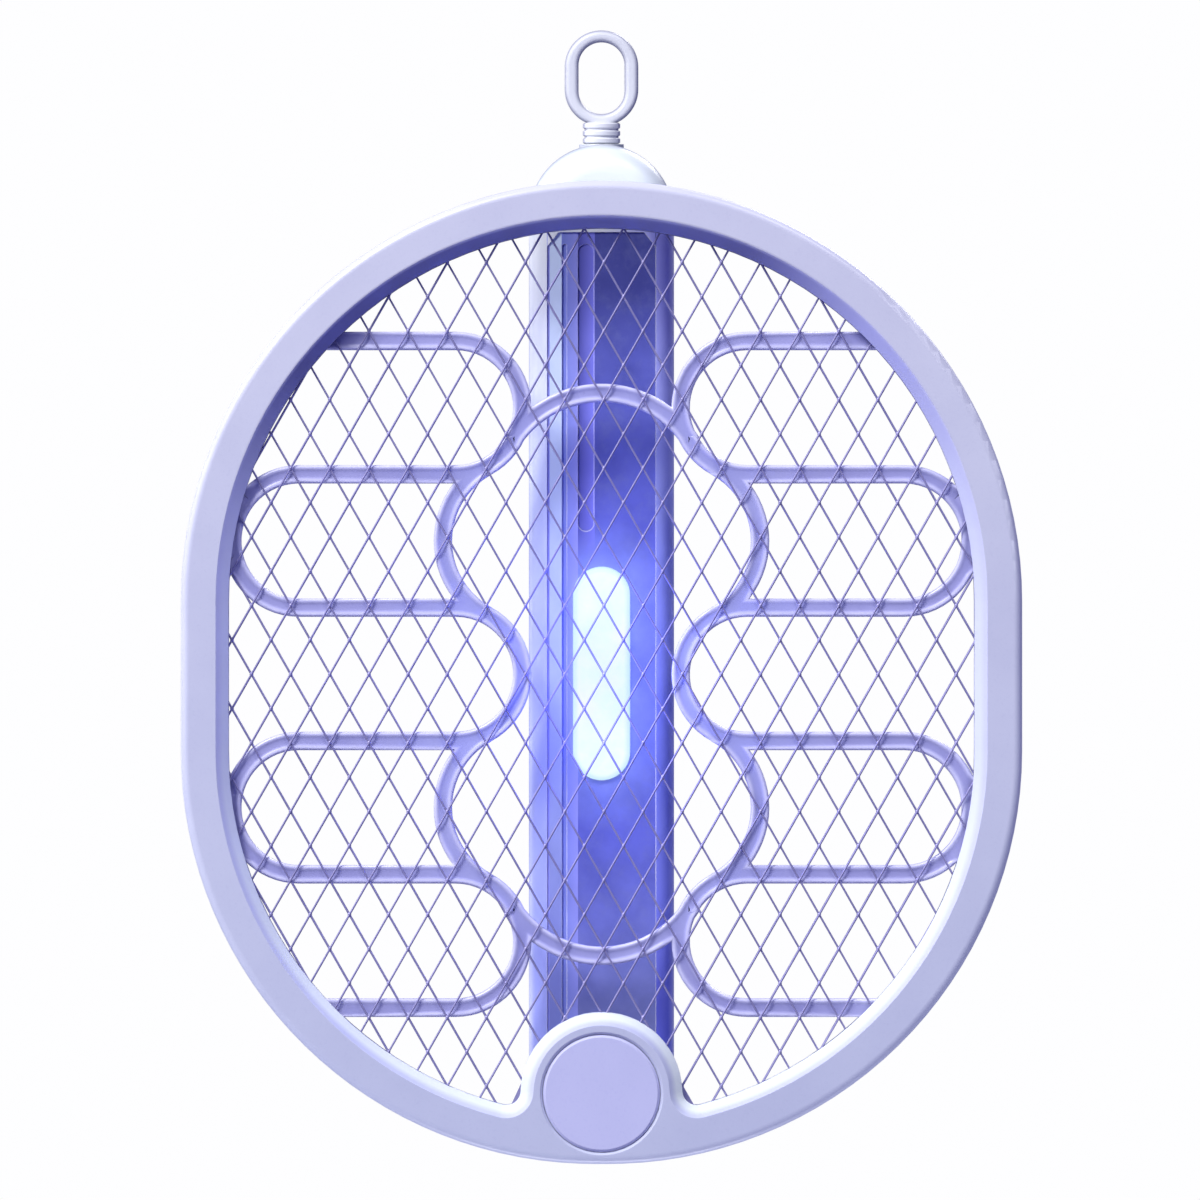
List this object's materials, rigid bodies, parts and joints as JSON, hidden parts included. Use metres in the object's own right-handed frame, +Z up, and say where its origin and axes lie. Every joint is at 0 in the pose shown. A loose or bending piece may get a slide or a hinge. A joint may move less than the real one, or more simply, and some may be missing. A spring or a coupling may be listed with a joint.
{
  "type": "electric fly swatter",
  "caption": "Folding electric fly swatter: a rounded racket head with three meshes and wavy finger guards, turning on a lamp handle with a hanging ring.",
  "frame": {"origin": "the point at the top of the hanging eye where a hook bears", "axes": "+Z up, along the handle towards the hanging ring; +Y towards the back of the handle; the lamp and the head's front face -Y"},
  "size_m": [0.2104, 0.047, 0.284],
  "materials": {
    "head_plastic": "satin moulded lavender",
    "cap_plastic": "satin moulded lavender",
    "guard_plastic": "satin moulded lavender",
    "handle_plastic": "satin moulded pale lavender",
    "ring_plastic": "satin moulded pale lavender",
    "button_plastic": "matte violet",
    "washer_nylon": "natural nylon",
    "mesh_aluminium": "drawn wire, dull",
    "grid_steel": "drawn wire, dull",
    "screw_steel": "zinc plated",
    "spring_steel": "blued spring steel",
    "shaft_metal": "turned",
    "contact_brass": "stamped",
    "tab_nickel": "nickel plated",
    "lens_frosted": "frosted, lit from behind",
    "light_pipe_clear": "clear",
    "led_package": "white package",
    "board_green": "solder mask",
    "chip_black": "moulded epoxy",
    "coil_tape": "tape",
    "capacitor_film": "dipped epoxy",
    "cell_wrap": "shrink wrap",
    "lead_insulation": "wire insulation",
    "flap_rubber": "soft rubber"
  },
  "bodies": {
    "handle": {"handle_front_shell": "handle_plastic", "handle_rear_shell": "handle_plastic", "handle_screws": "screw_steel", "lamp_lens": "lens_frosted", "uv_led_board": "board_green", "uv_leds": "led_package", "battery_cell": "cell_wrap", "battery_tabs": "tab_nickel", "battery_leads": "lead_insulation", "main_board": "board_green", "board_parts": "chip_black", "hv_transformer": "coil_tape", "hv_capacitors": "capacitor_film", "tact_switch": "chip_black", "slide_switch": "tab_nickel", "usb_socket": "tab_nickel", "light_pipe": "light_pipe_clear", "hv_leads": "lead_insulation", "pivot_shaft": "shaft_metal", "thrust_washer": "washer_nylon", "friction_spring": "spring_steel", "retaining_washer": "spring_steel", "retaining_ring": "spring_steel"},
    "head": {"front_frame": "head_plastic", "rear_frame": "head_plastic", "head_screws": "screw_steel", "front_mesh": "mesh_aluminium", "rear_mesh": "mesh_aluminium", "hv_grid": "grid_steel", "front_rib_guard": "guard_plastic", "rear_rib_guard": "guard_plastic", "contact_strips": "contact_brass", "pivot_cap": "cap_plastic", "stop_pin": "screw_steel"},
    "hang_ring": {"hang_ring": "ring_plastic"},
    "zap_button": {"zap_button": "button_plastic"},
    "mode_knob": {"mode_knob": "button_plastic"},
    "usb_flap": {"usb_flap": "flap_rubber"}
  },
  "joints": [
    {"name": "head_fold", "type": "hinge", "parent": "handle", "child": "head", "pos_m": [0, -0.024, -0.2634], "axis": [0, 1, 0], "range_deg": [0, 180]},
    {"name": "ring_swivel", "type": "hinge", "parent": "handle", "child": "hang_ring", "pos_m": [0, 0, -0.03], "axis": [0, 0, 1], "continuous": true},
    {"name": "zap_press", "type": "slide", "parent": "handle", "child": "zap_button", "axis": [0, -1, 0], "range_m": [0, 0.0012], "stiffness_N_per_m": 1500, "springref_m": -0.0004},
    {"name": "mode_slide", "type": "slide", "parent": "handle", "child": "mode_knob", "axis": [0, 0, 1], "range_m": [0, 0.006]},
    {"name": "flap_open", "type": "hinge", "parent": "handle", "child": "usb_flap", "pos_m": [0.0182, 0.00113, -0.142], "axis": [0, 0, -1], "range_deg": [0, 110]}
  ]
}
